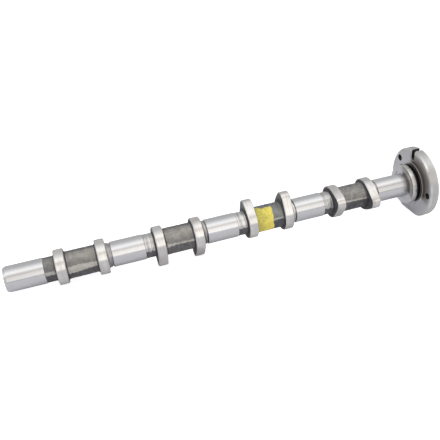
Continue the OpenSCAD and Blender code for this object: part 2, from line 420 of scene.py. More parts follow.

# %% [markdown]
# ## Cast skin
# Molten iron copies the sand of the mould, so the skin is a close grain of bumps of 0.3 to 1 mm,
# brown-grey where it is only oxidised, and near black where painted shade lies on it. It is dull and
# less than half metallic, so it hardly mirrors anything. Three values are stored on every point of
# the mesh: "tone", from black painted shade to the bare metal of the fettled mould joint, which also
# holds the painted light and shade round the shaft, "warm", from a cool grey skin to a brownish one,
# and "turned", which is 1 where a lathe has cut the skin away; on the necks it is also 0 where uncut
# skin stands in as painted shade. The material reads all three, and where it is turned it has the
# bright lines of a lathe instead.

# %% Cast finish
CLOUD_SHARE, GRAIN_SHARE = 0.30, 0.46  # a noise lies round 0.5, so half its share is taken off again
SKIN_STOPS = (0.0, 0.25, 0.55, 0.8, 1.0)
WARM_SKIN = list(zip(SKIN_STOPS, ("#2a2829", "#535055", "#8f8883", "#b0aba4", "#cdc9c2")))
COOL_SKIN = list(zip(SKIN_STOPS, ("#28292b", "#505257", "#808280", "#a9aaa5", "#c8c9c4")))
LATHE_MM = 0.8

cast_skin, tree = new_material("cast_iron_skin")
place = add(tree, "TexCoord").outputs["Object"]
tone = add(tree, "Attribute", {"attribute_name": "tone"}).outputs["Fac"]
cut = add(tree, "Attribute", {"attribute_name": "turned"}).outputs["Fac"]
brown = add(tree, "Attribute", {"attribute_name": "warm"}).outputs["Fac"]
grain = add(tree, "TexNoise", Vector=place, Scale=1100.0, Detail=4.0, Roughness=0.65)
cloud = add(tree, "TexNoise", Vector=place, Scale=230.0, Detail=3.0, Roughness=0.6)
spread = add(tree, "Math", {"operation": "MULTIPLY_ADD"}, i0=cloud, i1=CLOUD_SHARE, i2=-CLOUD_SHARE / 2)
spread = add(tree, "Math", {"operation": "ADD"}, i0=tone, i1=spread)
pits = add(tree, "Math", {"operation": "MULTIPLY_ADD"}, i0=grain, i1=GRAIN_SHARE, i2=-GRAIN_SHARE / 2)
spread = add(tree, "Math", {"operation": "ADD", "use_clamp": True}, i0=spread, i1=pits)
warm = add(tree, "ValToRGB", stops=WARM_SKIN, Fac=spread)
cool = add(tree, "ValToRGB", stops=COOL_SKIN, Fac=spread)
cast_colour = add(tree, "Mix", {"data_type": "RGBA"}, i0=brown, i6=cool, i7=warm).outputs[2]
lathe = tool_lines(tree, place, LATHE_MM, 0.5)
cut_colour = add(tree, "ValToRGB", stops=[(0.36, "#949290"), (0.62, "#d8d7d5")], Fac=lathe)
colour = add(tree, "Mix", {"data_type": "RGBA"}, i0=cut, i6=cast_colour, i7=cut_colour).outputs[2]
metal = add(tree, "MapRange", i0=cut, i3=0.35, i4=1.0)
rough = add(tree, "MapRange", i0=cut, i3=0.58, i4=0.32)
height = add(tree, "Mix", {"data_type": "FLOAT"}, i0=cut, i2=grain, i3=lathe)
depth = add(tree, "MapRange", i0=cut, i3=1.0, i4=0.12)
bump = add(tree, "Bump", Distance=0.16 * MM, Strength=depth, Height=height)
skin = add(tree, "BsdfPrincipled", Metallic=metal, Base_Color=colour, Roughness=rough, Normal=bump)
add(tree, "OutputMaterial", Surface=skin)
print("cast finish:", cast_skin.name)

# %% [markdown]
# ## The journals
# Five ground bands carry the shaft. Each is a plain cylinder with its two edges broken, and the
# first has a longer lead, so that it enters its bearing easily, and the centre hole that the shaft
# was held by on the lathe and the grinder: a 60 degree cone and a small drilling behind it.

# %% Journals
CENTRE_MOUTH_R, CENTRE_R, CENTRE_DEEP, TIP_R = 4.25, 2.0, 9.0, 0.02
CONE_TAN, POINT_TAN = np.tan(np.radians(30)), np.tan(np.radians(59))
LEAD_LONG, LEAD_DEEP, LEAD_EDGE = 2.4, 0.9, 0.25
RELIEF_DEEP = 0.8  # the relief in the collar's face, where the last journal ends
cone_deep = (CENTRE_MOUTH_R - CENTRE_R) / CONE_TAN
# Depth and radius of the centre hole, from its tip to its mouth
CENTRE = [(CENTRE_DEEP + CENTRE_R / POINT_TAN, TIP_R), (CENTRE_DEEP, CENTRE_R), (cone_deep, CENTRE_R),
          (0.0, CENTRE_MOUTH_R)]


def journal(name, x0, x1, free_end=False):
    """Closed band with two broken edges; the free end has a centre hole and a longer lead."""
    if free_end:
        rings = [(x0 + deep, r) for deep, r in CENTRE]
        rings += [(x0, JOURNAL_R - LEAD_DEEP - LEAD_EDGE), (x0 + LEAD_EDGE, JOURNAL_R - LEAD_DEEP),
                  (x0 + LEAD_LONG, JOURNAL_R)]
    else:
        rings = [(x0, JOURNAL_R - EDGE), (x0 + EDGE, JOURNAL_R)]
    rings += [(x1 - EDGE, JOURNAL_R), (x1, JOURNAL_R - EDGE)]
    x, r = zip(*rings)
    faced = len(CENTRE) if free_end else 0
    bands = [1] * faced + [0] * (len(rings) - 1 - faced)
    return turned(name, x, r, [ground_journal, clean_face], bands, crease=12.0)


journal_x = [x + SHORT_NECK for x in right_x]
journals = [journal("journal_1", first_x, first_x + FIRST_JOURNAL, free_end=True)]
for i in range(3):
    journals.append(journal(f"journal_{i + 2}", journal_x[i], left_x[i + 1] - NECK))
journals.append(journal("journal_5", journal_x[3], RELIEF_DEEP + EDGE))
print("journals:", [round(j.dimensions.x / MM, 1) for j in journals], "mm long")

# %% [markdown]
# ## The outline of a cam
# A cam is a base circle that leaves the valve shut, a small circle at its nose and two large arcs,
# the flanks, that run into both without a corner. Each arc is a circle, so its radius in a
# direction u is (c.u) + sqrt((c.u)^2 - c.c + R^2), with c its centre and R its size. The arcs change
# over where they touch, which the triangle of the three centres gives.

# %% Cam outline


def cam_outline(direction, lift):
    """Radius of the cam at every angle, for a nose that points in that direction in degrees."""
    nose_y = BASE_R + lift - NOSE_R
    step, reach = BASE_R - NOSE_R, FLANK_R - BASE_R
    half = np.arccos((step ** 2 + 2 * reach * step - nose_y ** 2) / (2 * reach * nose_y))
    nose_end = np.arctan2(nose_y + reach * np.cos(half), reach * np.sin(half))
    leave = np.arctan2(NOSE_R * np.cos(nose_end), nose_y + NOSE_R * np.sin(nose_end))
    t = np.abs((angle - np.radians(direction) + np.pi) % (2 * np.pi) - np.pi)
    nose = nose_y * np.cos(t) + np.sqrt(np.maximum(NOSE_R ** 2 - (nose_y * np.sin(t)) ** 2, 0))
    along = -reach * np.cos(t - half)
    flank = along + np.sqrt(along ** 2 - reach ** 2 + FLANK_R ** 2)
    return np.where(t < leave, nose, np.where(t < half, flank, BASE_R))


for lift in (EARLY_LIFT, LATE_LIFT):
    outline = cam_outline(0, lift)
    print(f"cam with {lift} mm lift: radius {outline.min():.2f} to {outline.max():.2f} mm")

# %% [markdown]
# ## The rings of a pair
# Each cylinder has two cams. One skin runs from the neck over the first cam, along the bar as cast,
# over the second cam and out to the undercut beside the next journal. It is a list of rings, each
# with a place along the shaft, a radius that may change with the angle, and the finish of the strip
# after it. Where a cam rises from the bar the casting has a fillet, a quarter circle in a few rings.

# %% Rings of a pair
GROUND, CAST = 0, 1
ROOT_STEPS, NECK_STEPS, BAR_STEPS = 8, 18, 60
NECK_GAP, BAR_GAP = 0.4, 0.5  # between a fillet and the nearest ring of the neck or the bar


def fillet(x_wall, r, way):
    """Quarter circle from the bar up to a wall; way is the side of the wall that the bar lies on."""
    t = np.radians(np.linspace(0, 90, ROOT_STEPS))
    places, radii = x_wall + way * ROOT * (1 - np.sin(t)), r + ROOT * (1 - np.cos(t))
    return [(x, radius, CAST) for x, radius in zip(places, radii)]


def cam_rings(x0, r_left, r_right, outline):
    """One cam: fillet, side, ground rim with its two broken edges, side, fillet."""
    x1, edge = x0 + CAM_W, outline - CAM_EDGE
    up = [(x0, (1 - t) * (r_left + ROOT) + t * edge, CAST) for t in (0.33, 0.66)]
    rim = [x0 + CAM_EDGE, *(x0 + CAM_W * t for t in (0.25, 0.5, 0.75)), x1 - CAM_EDGE]
    ground = [(x0, edge, GROUND)] + [(x, outline, GROUND) for x in rim]
    off = [(x1, (1 - t) * (r_right + ROOT) + t * edge, CAST) for t in (1, 0.66, 0.33)]
    return fillet(x0, r_left, -1) + up + ground + off + fillet(x1, r_right, 1)[::-1]


def pair_rings(i):
    """Places and radii of a pair, each as rings by angles, and the finish of the strip after each."""
    neck_r = NECK_R if i else RAW_NECK_R
    early = cam_outline(ORDER[i] * 90 - EARLY_LEAD, EARLY_LIFT)
    late = cam_outline(ORDER[i] * 90 + LATE_LAG, LATE_LIFT)
    late_x = right_x[i] - CAM_W
    undercut_x, undercut_r = journal_x[i] - UNDERCUT_W, NECK_R - UNDERCUT_DEEP
    neck = np.linspace(left_x[i] - NECK - LAP, left_x[i] - ROOT - NECK_GAP, NECK_STEPS)
    bar = np.linspace(left_x[i] + CAM_W + ROOT + BAR_GAP, late_x - ROOT - BAR_GAP, BAR_STEPS)
    rings = [(x, neck_r, CAST) for x in neck] + cam_rings(left_x[i], neck_r, RAW_R, early)
    rings += [(x, RAW_R, CAST) for x in bar] + cam_rings(late_x, RAW_R, NECK_R, late)
    rings += [(undercut_x, NECK_R, CAST), (undercut_x, undercut_r, CAST),
              (journal_x[i] + LAP, undercut_r, CAST)]
    places, radii, finishes = zip(*rings)
    return all_round(places), all_round(radii), finishes


print("rings of a pair:", len(pair_rings(0)[2]))

# %% [markdown]
# ## The skin of the bars
# No two of the bars look alike. One is brown and one grey, and the bare band that fettling left
# along the mould joint is broad on one and a mere line on the next. The tone is a sum of fields: a
# broad swell, faint streaks and spots, painted light and shade round the bar, the bare band and the
# near-black painted shade below it. The edges of band and shade are ragged, because a random field
# is added to their place before the step is taken. What differs is a row for each pair, counted
# from the free end.
# Directions are in degrees round the shaft, and tones and shares run from 0 to 1.

# %% Skin of the bars
JOINT_DIR, FAR_HALF = 172.0, 5.5
UNDERSIDE_END = JOINT_DIR + 176  # the painted shade below ends just short of the joint behind
# Where the painted shade behind the bar lies, in degrees, and how soft its edges are
BACK_FROM, BACK_TO, BACK_SOFT = 330, 93, 14.0
SKIN_TONE, BARE_TONE = 0.56, 0.84
# Upper and lower edge of the bare band, at five places from the early cam to the late one
BARE_TOP = ((158, 155, 157, 160, 158), (160, 165, 166, 166, 158),
            (163, 163, 163, 163, 162), (162, 163, 164, 165, 166))
BARE_LOW = ((187, 186, 182, 178, 168), (178, 171, 172, 173, 168),
            (169, 169, 169, 168, 168), (170, 170, 171, 172, 174))
# How light the painted shade below is, how much painted shade darkens the skin behind, and how
# strong its spots are
UNDERSIDE_TONE = (0.28, 0.34, 0.27, 0.27)
BACK_SHADE = (0.19, 0.19, 0.14, 0.14)
SPOTTED = (0.02, 0.02, 0.02, 0.09)
# Painted light and shade: how the skin gets lighter and darker round each bar
SHADE_AT = (82, 91, 103, 118, 132, 146, 156, 166)
BAR_LIGHT_AND_SHADE = ((-0.03, 0.03, 0.04, 0.09, 0.03, -0.07, -0.08, 0.0),
             (-0.04, 0.0, 0.02, 0.10, 0.10, 0.0, -0.09, -0.03),
             (0.01, -0.03, -0.03, 0.01, 0.02, 0.0, -0.02, 0.0),
             (0.01, -0.03, -0.03, 0.01, 0.02, 0.0, -0.02, 0.0))
around = np.degrees(angle)[None, :]
far_joint = np.abs((around - JOINT_DIR) % 360 - 180)


def between(start, end, soft=4.0):
    """1 from one direction to another, in degrees round the shaft, and 0 elsewhere, with soft edges."""
    return step_up(around - start, soft) * step_up(end - around, soft)


def bar_skin(i, x, place, rag):
    """Tone of the skin, with painted light and shade in it, and share of bare metal at every point, as
    if all of it were bar.
    """
    along = np.clip((x - left_x[i] - CAM_W) / CAM_GAP, 0, 1)
    stations = np.linspace(0, 1, len(BARE_TOP[i]))
    top = np.interp(along, stations, BARE_TOP[i]) + rag
    low = np.interp(along, stations, BARE_LOW[i]) + 1.3 * rag
    bare = between(top, low, 3.0)
    bare_far = step_up(FAR_HALF + rag - far_joint, 3.0)
    underside_shade = between(low, UNDERSIDE_END + rag)
    back_shade = step_up(BACK_TO - around, BACK_SOFT) + step_up(around - BACK_FROM, BACK_SOFT)
    streaks = 0.05 * swell(place * [1.0, 0.25, 0.25], 3.2, 80 + i)
    skin = SKIN_TONE + 0.04 * swell(place, 7.0, 30 + i) + streaks - BACK_SHADE[i] * back_shade
    skin = skin + np.interp(around, SHADE_AT, BAR_LIGHT_AND_SHADE[i]) + SPOTTED[i] * swell(place, 1.7, 95 + i)
    underside_tone = UNDERSIDE_TONE[i] + 0.07 * swell(place * [1.0, 0.35, 0.35], 4.0, 70 + i)
    tone = skin * (1 - bare) * (1 - bare_far) * (1 - underside_shade)
    return tone + BARE_TONE * np.maximum(bare, bare_far) + underside_tone * underside_shade * (1 - bare), bare


print(f"mould joint at {JOINT_DIR} degrees and at {JOINT_DIR + 180} degrees")

# %% [markdown]
# ## The skin of the necks and corners
# Three of the necks are turned on their upper side, and below it black uncut skin is painted as
# shade. The first is raw all round, with a lighter band along the joint, painted light and shade
# round it and painted shade below. The sides of the cams are as cast and carry painted light on top,
# and painted shade lies in the roots of the fillets and in the corner between the second cam and the
# next journal. These rules overrule the tone of the bar where they lie.

# %% Skin of the necks and corners
# Painted light and shade round the first neck, at the angles SHADE_AT
NECK_SHADE = (-0.20, -0.02, 0.05, 0.06, 0.0, -0.08, -0.11, 0.0)
NECK_TONE, NECK_LIGHT, NECK_UNDERSIDE_SHADE, BELOW_SHADE_TONE = 0.50, 0.80, 0.27, 0.29
# The lighter band on the first neck, and the end of the painted shade below it
LIGHT_FROM, LIGHT_TO, UNDERSIDE_SHADE_TO = 160, 176, 342
# Where the turned upper side of each neck gives way to black skin painted as shade, and where that
# ends behind
NECK_EDGE, NECK_BACK = (None, 178, 175, 180), 300
SIDE_R = RAW_R + ROOT + 0.01  # what stands above the fillets is the side of a cam or its rim
# Painted light and shade on the sides of the cams: lighter on top, darker further round
SIDE_AT, SIDE_LIGHT_AND_SHADE = (84, 108), (0.46, 0.24)
# Painted shade in the corner after a late cam, from the upper front down, and on the turned neck in it
CORNER_SHADE_AT, CORNER_SHADE_TONE = (150, 172), 0.14
CORNER_SHADE = ((0.30, 0.6), (0.55, 0.9), (0.0, 0.7), (0.0, 0.0))
# Painted shade on the underside of each short neck, by the angle round it
SHORT_NECK_SHADE_AT = (140, 150, 165, 180, 200)
SHORT_NECK_SHADE = ((0.0, 0.0, 0.0, 0.1, 0.6), (0.0, 0.4, 0.15, 0.5, 0.65),
        (0.0, 0.1, 0.0, 0.05, 0.3), (0.0, 0.0, 0.0, 0.0, 0.0))
# Painted shade at the roots of the fillets
FILLET_SHADE = 0.35


def neck_skin(i, x, rag, tone):
    """The neck before the early cam: the tone with its painted shade, and the share that the lathe has
    cut.
    """
    neck = x < left_x[i]
    if i == 0:
        edge = LIGHT_TO + 2.5 * rag
        light, below = between(LIGHT_FROM + rag, edge), between(edge, UNDERSIDE_SHADE_TO)
        own = NECK_TONE + np.interp(around, SHADE_AT, NECK_SHADE)
        own = own * (1 - light) * (1 - below) + NECK_LIGHT * light + NECK_UNDERSIDE_SHADE * below
        return np.where(neck, own, tone), np.zeros_like(x)
    # Below the turned side, uncut black skin stands in as painted shade
    shade_below = between(NECK_EDGE[i] + 2.2 * rag, NECK_BACK + 2 * rag)
    cut = np.where(x < left_x[i] - ROOT * 0.6, 1 - shade_below, 0.0)
    return np.where(neck, BELOW_SHADE_TONE, tone), cut


def corner_skin(i, x, r, place, tone, cut):
    """Lays painted light and shade on the cams' sides, and painted shade in the corner after the late
    cam and at the roots, over the rest.
    """
    side = r > SIDE_R
    side_light_shade = np.interp(around, SIDE_AT, SIDE_LIGHT_AND_SHADE) + 0.04 * swell(place, 5.0, 90 + i)
    past_cam, short_neck = x > right_x[i], x > right_x[i] + ROOT * 0.8
    undercut = r < NECK_R - 0.5 * UNDERCUT_DEEP
    tone = np.where(past_cam, CORNER_SHADE_TONE, np.where(side, side_light_shade, tone))
    in_corner = (short_neck & undercut) | (past_cam & ~short_neck)
    cut = np.where(short_neck, 1 - np.interp(around, SHORT_NECK_SHADE_AT, SHORT_NECK_SHADE[i]), cut)
    cut = np.where(in_corner, 1 - np.interp(around, CORNER_SHADE_AT, CORNER_SHADE[i]), cut)
    cut = np.where((x < left_x[i]) & (r > NECK_R + 0.7 * ROOT), 0.0, cut)
    walls = (left_x[i], left_x[i] + CAM_W, right_x[i] - CAM_W)
    to_wall = np.min([np.abs(x - wall) for wall in walls], axis=0)
    return np.where((to_wall < ROOT * 0.75) & ~side, FILLET_SHADE * tone, tone), cut


# The most painted shade that lies on each short neck
print("most dirt on each short neck:", [max(row) for row in SHORT_NECK_SHADE])

# %% [markdown]
# ## The four pairs
# The cast skin isn't only coloured, it also swells and dips by about a tenth of a millimetre, and
# the mould joint leaves a low land on both sides of the bar, where the founder fettled the flash
# away. Both are added to the radius before the mesh is made, and they fade out where a fillet rises
# to a cam. The ground rims stay exact.

# %% Cam pairs
JOINT_HALF_MM, JOINT_HIGH = 1.6, 0.35
WARM, NECK_WARM = (0.55, 0.45, 0.0, 0.4), 0.4  # how brown the skin of each bar and of the necks is


def cam_pair(i):
    """The skin of one cylinder: the rings' radius, plus the land and the swellings on cast skin."""
    x, r, finishes = pair_rings(i)
    place = np.stack([x, r * np.cos(angle), r * np.sin(angle)], -1)
    rag = 1.6 * swell(place, 2.6, 10 + i) + 0.8 * swell(place, 1.1, 20 + i)
    tone, bare = bar_skin(i, x, place, rag)
    tone, cut = neck_skin(i, x, rag, tone)
    tone, cut = corner_skin(i, x, r, place, tone, cut)

    off_joint = np.minimum(np.abs(around - JOINT_DIR), far_joint) * np.pi / 180 * RAW_R
    land = JOINT_HIGH * step_up(JOINT_HALF_MM + 0.5 * rag - off_joint, 0.8)
    rough = 0.10 * swell(place, 5.0, 40 + i) + 0.05 * swell(place, 1.8, 50 + i)
    rough = rough + 0.03 * swell(place, 0.9, 60 + i)
    on_bar = (x > left_x[i] + CAM_W) & (x < right_x[i] - CAM_W) & (r <= SIDE_R)
    fade = np.clip((RAW_R + ROOT - r) / ROOT, 0, 1)
    grow = np.where(on_bar, (land + rough * (1 - 0.6 * bare)) * fade, 0.0)
    neck = x < left_x[i]
    raw_neck = neck & (cut < 0.5) & (r < (NECK_R if i else RAW_NECK_R) + ROOT)
    grow = np.where(raw_neck, 0.6 * rough - 0.05, grow)
    return turned(f"cam_pair_{i + 1}", x, r + grow, [ground_cam, cast_skin], finishes[:-1],
                  values={"tone": tone, "turned": cut, "warm": np.where(neck, NECK_WARM, WARM[i])})


pairs = [cam_pair(i) for i in range(4)]
print("cam pairs:", [len(p.data.polygons) for p in pairs], "faces")

# %% [markdown]
# ## Collar, groove and hub
# The collar beside the last journal and the groove behind it hold the shaft endways: a half-round
# plate in the cylinder head sits in the groove. All of it is one turned profile, so it is a list of
# radii along the shaft. The small relief round the journal lets the grinding wheel run out.

# %% Thrust collar
RELIEF_W, RELIEF_MID, COLLAR_EDGE, GROOVE_EDGE = 3.8, 2.2, 0.5, 0.4
FACE, BRIGHT, GROOVE_SHADE = 0, 1, 2
hub_x = COLLAR_W + GROOVE_W
relief_r = JOURNAL_R + RELIEF_W
# Place, radius and finish of the strip after it, from the relief over the collar to the hub. The
# relief and the faces get painted shade, and the groove gets black painted shade.
profile = [
    (RELIEF_DEEP, JOURNAL_R - LAP, FACE), (RELIEF_DEEP, JOURNAL_R + RELIEF_MID, FACE),
    (RELIEF_DEEP, relief_r, FACE), (0.0, relief_r, FACE), (0.0, (COLLAR_R + relief_r) / 2, FACE),
    (0.0, COLLAR_R - COLLAR_EDGE, BRIGHT), (COLLAR_EDGE, COLLAR_R, BRIGHT),
    (COLLAR_W - COLLAR_EDGE, COLLAR_R, BRIGHT), (COLLAR_W, COLLAR_R - COLLAR_EDGE, GROOVE_SHADE),
    (COLLAR_W, GROOVE_R + GROOVE_EDGE, GROOVE_SHADE), (COLLAR_W + GROOVE_EDGE, GROOVE_R, GROOVE_SHADE),
    (hub_x - GROOVE_EDGE, GROOVE_R, GROOVE_SHADE), (hub_x, GROOVE_R + GROOVE_EDGE, GROOVE_SHADE),
    (hub_x, COLLAR_R - 2 * COLLAR_EDGE, FACE), (hub_x, HUB_R - COLLAR_EDGE, FACE),
    (hub_x + COLLAR_EDGE, HUB_R, FACE), (FLANGE_X + LAP, HUB_R, FACE)]
x, r, finishes = zip(*profile)
collar = turned("thrust_collar", x, r, [stained, ground_cam, shade_black], finishes[:-1], crease=20.0)
print("collar:", round(collar.dimensions.x / MM, 1), "mm long")

# %% [markdown]
# ## The drive flange
# The flange is a disc with a flat, a slot and three threaded holes, so it isn't a turned skin. Its
# outline is one closed line: round the rim, along the flat, and down and up the slot. The same line
# with another radius gives the edge of each face, and strips between such lines give the rim and
# its bevels. The flat and the two walls of the slot are straight, so they need no points of their
# own: they are just the way from the end of one arc to the start of the next.

# %% Flange outline
FLAT_Z, SLOT_HALF, SLOT_ROUND_Z = -36.7, 2.8, 31.8
RIM_STEPS, SLOT_STEPS = 90, 17


def arc(start, end, steps, radius, middle_z=0.0):
    """Points (y, z) = (R cos a, middle + R sin a) of an arc between two angles."""
    a = np.linspace(start, end, steps)
    return np.stack([radius * np.cos(a), middle_z + radius * np.sin(a)], -1)


def flange_outline(radius):
    """Outline at a radius: down the rim to the flat, up the rim beyond it, and the slot's floor."""
    slot = np.arcsin(SLOT_HALF / radius)
    flat = np.arccos(-FLAT_Z / radius)
    down_rim = arc(np.pi / 2 - slot, -np.pi / 2 + flat, RIM_STEPS, radius)
    up_rim = arc(-np.pi / 2 - flat, -np.pi * 3 / 2 + slot, RIM_STEPS, radius)
    floor = arc(np.pi, 2 * np.pi, SLOT_STEPS, SLOT_HALF, SLOT_ROUND_Z)
    return np.concatenate([down_rim, up_rim, floor])


outline_points = len(flange_outline(FLANGE_R))
print("flange outline:", outline_points, "points")

# %% [markdown]
# ## The body of the flange
# Closed lines of points are laid one after the other, and a strip of quads joins each to the next:
# over the rim and its bevels, through each threaded hole and down the centre hole. The helpers below
# keep the lists of points, of faces and of each face's finish, and fill the two flat faces with
# triangles between the outline and the mouths of the holes.

# %% Flange helpers
HOLE_STEPS = 40
hole_angle = np.arange(HOLE_STEPS) * 2 * np.pi / HOLE_STEPS
RIM, HOLE_SHADE, FACE_SHADE, SHINE, OUTER = 0, 1, 2, 3, 4
points, faces, which = [], [], []


def circle(radius, centre=(0.0, 0.0)):
    """Points (y, z) of a circle, turning from +Y towards +Z; the radius may change with the angle."""
    y, z = radius * np.cos(hole_angle), radius * np.sin(hole_angle)
    return np.stack([centre[0] + y, centre[1] + z], -1)


def lay(x, flat_points):
    """Adds a closed line of (y, z) points at x and returns the index of its first one."""
    first = sum(len(line) for line in points)
    points.append(np.column_stack([np.full(len(flat_points), float(x)), flat_points]))
    return first


def strips(firsts, finishes, flip=False):
    """Quads from each closed line to the next, with a finish for each of the quads in a strip."""
    j = np.arange(len(finishes))
    j2 = (j + 1) % len(finishes)
    for a, b in zip(firsts, firsts[1:]):
        quads = np.stack([a + j, a + j2, b + j2, b + j], -1)
        faces.extend((quads[:, ::-1] if flip else quads).tolist())
        which.extend(finishes)


def fill(lines, firsts, facing, finish):
    """Triangles between an outline and its holes, turned to face +X or -X by the sign of their area."""
    index = np.concatenate([np.arange(len(line)) + first for line, first in zip(lines, firsts)])
    triangles = np.array(tessellate_polygon([[(p[0], p[1], 0.0) for p in line] for line in lines]))
    a, b, c = (np.concatenate(lines)[triangles[:, n]] for n in range(3))
    area = (b[:, 0] - a[:, 0]) * (c[:, 1] - a[:, 1]) - (b[:, 1] - a[:, 1]) * (c[:, 0] - a[:, 0])
    wrong = (area > 0) != (facing > 0)
    triangles[wrong] = triangles[wrong][:, ::-1]
    triangles = triangles[np.abs(area) > 1e-9]
    faces.extend(index[triangles].tolist())
    which.extend([finish] * len(triangles))


print("points round a hole:", HOLE_STEPS)

# %% [markdown]
# ## Rim, holes and faces
# In a threaded hole the radius grows to the thread's depth once in every pitch, and the place of
# that crest turns with the angle, which makes it a screw. It fades out over one pitch at both ends.
# The holes and the walls of the slot get black painted shade, while the rim beside the slot is
# bright, so each strip over the rim changes its finish where the outline turns into the slot.

# %% Flange
BEVEL, BACK_BEVEL = 1.5, 0.6
HOLE_R, THREAD_R, HOLE_EDGE, THREAD_PITCH = 3.4, 4.0, 0.4, 1.25
HOLE_DIRS, HOLE_CIRCLE = np.radians([40.0, 184.0, 292.0]), 33.2
MOUTH_R = HOLE_R + HOLE_EDGE


def threaded_hole(centre):
    """Lays a hole and returns its first and last line.

    Radius = hole + depth * tooth, where the tooth rises and falls with the turns x / pitch - a / 2 pi.
    """
    inside = np.arange(FLANGE_X + HOLE_EDGE + 0.1, END_X - HOLE_EDGE - 0.05, THREAD_PITCH / 8)
    firsts = [lay(FLANGE_X, circle(MOUTH_R, centre)), lay(FLANGE_X + HOLE_EDGE, circle(HOLE_R, centre))]
    for x in inside:
        turns = (x / THREAD_PITCH - hole_angle / (2 * np.pi)) % 1.0
        tooth = np.clip(1.6 * (0.5 - np.abs(turns - 0.5)) * 2 - 0.3, 0, 1)
        fade = min(1.0, (x - inside[0]) / THREAD_PITCH, (inside[-1] - x) / THREAD_PITCH)
        firsts.append(lay(x, circle(HOLE_R + (THREAD_R - HOLE_R) * tooth * fade, centre)))
    firsts += [lay(END_X - HOLE_EDGE, circle(HOLE_R, centre)), lay(END_X, circle(MOUTH_R, centre))]
    strips(firsts, [HOLE_SHADE] * HOLE_STEPS, flip=True)
    return firsts[0], firsts[-1]


rims = [(FLANGE_X, FLANGE_R - BEVEL), (FLANGE_X + BEVEL, FLANGE_R), (END_X - BACK_BEVEL, FLANGE_R),
        (END_X, FLANGE_R - BACK_BEVEL)]
rim_first = [lay(x, flange_outline(r)) for x, r in rims]
slot_shade = [HOLE_SHADE] * (SLOT_STEPS + 1)
strips(rim_first[:2], [SHINE] * (outline_points - len(slot_shade)) + slot_shade, flip=True)
strips(rim_first[1:], [RIM] * (outline_points - len(slot_shade)) + slot_shade, flip=True)
centres = [(HOLE_CIRCLE * np.cos(d), HOLE_CIRCLE * np.sin(d)) for d in HOLE_DIRS]
mouths, tails = zip(*[threaded_hole(centre) for centre in centres])
centre_first = [lay(END_X - deep, circle(r)) for deep, r in CENTRE[::-1]]
strips(centre_first, [OUTER] * HOLE_STEPS)
tip = lay(END_X - CENTRE[0][0], np.zeros((1, 2)))
j = np.arange(HOLE_STEPS)
last = centre_first[-1]
faces.extend(np.stack([last + j, last + (j + 1) % HOLE_STEPS, np.full(HOLE_STEPS, tip)], -1).tolist())
which.extend([OUTER] * HOLE_STEPS)
hole_lines = [circle(MOUTH_R, centre) for centre in centres]
# The face towards the collar gets painted shade; the outer face stays clean
fill([flange_outline(rims[0][1])] + hole_lines, [rim_first[0], *mouths], -1, FACE_SHADE)
fill([flange_outline(rims[-1][1])] + hole_lines + [circle(CENTRE_MOUTH_R)],
     [rim_first[-1], *tails, centre_first[0]], 1, OUTER)
flange = hand_in("drive_flange", np.concatenate(points), faces,
                 [turned_rim, shade_black, stained, ground_cam, clean_face], which, 12.0)
print("flange:", len(flange.data.polygons), "faces")

# %% [markdown]
# ## Marking paint
# Someone in the works dabbed yellow paint on the bar between two cams, to tell this shaft from its
# twin. Such paint is a half-glossy enamel. It is thinner and greener in some places and richer in
# others, mostly towards the second cam, so a noise and the place along the shaft choose its colour.

# %% Paint finish
RICHER_FROM, RICHER_TO = -184.6 * MM, -168.0 * MM
PAINT_COLOURS = [(0.22, "#a8a147"), (0.42, "#c6bc54"), (0.55, "#dfcf5c"), (0.72, "#f1df66")]
paint, tree = new_material("marking_paint_yellow")
place = add(tree, "TexCoord").outputs["Object"]
blot = add(tree, "TexNoise", Vector=place, Scale=380.0, Detail=5.0, Roughness=0.65)
daub = add(tree, "TexNoise", Vector=place, Scale=900.0, Detail=3.0, Roughness=0.6)
across = add(tree, "SeparateXYZ", Vector=place).outputs["X"]
richer = add(tree, "MapRange", i0=across, i1=RICHER_FROM, i2=RICHER_TO, i3=-0.10, i4=0.13)
mixed = add(tree, "Math", {"operation": "MULTIPLY_ADD"}, i0=blot, i1=0.9, i2=richer)
colour = add(tree, "ValToRGB", stops=PAINT_COLOURS, Fac=mixed)
bump = add(tree, "Bump", Strength=0.6, Distance=0.08 * MM, Height=daub)
skin = add(tree, "BsdfPrincipled", Base_Color=colour, Roughness=0.48, IOR=1.5, Normal=bump)
add(tree, "OutputMaterial", Surface=skin)
print("paint:", paint.name)

# %% [markdown]
# ## The paint mark
# The coat has a wavy edge, so it is a patch of surface that follows the bar, with its swellings and
# the land of the mould joint, a fifth of a millimetre above it. It starts inside the cam, and its
# other edges dive under the skin. A second sheet deep in the bar and walls between the two close it.

# %% Paint mark
PAINT_ROWS, PAINT_COLUMNS = 70, 150
PAINT_LONG, PAINT_END = 19.2, 262.0
# Upper edge of the patch in degrees, by the share of its length
TOP_AT, TOP = (0, 0.2, 0.35, 0.6, 0.8, 1.0), (80, 84, 97, 102, 97, 100)
COAT, COAT_LOW, COAT_BASE, UNDER, DEEP = 0.14, 0.02, 0.06, 0.35, 0.8


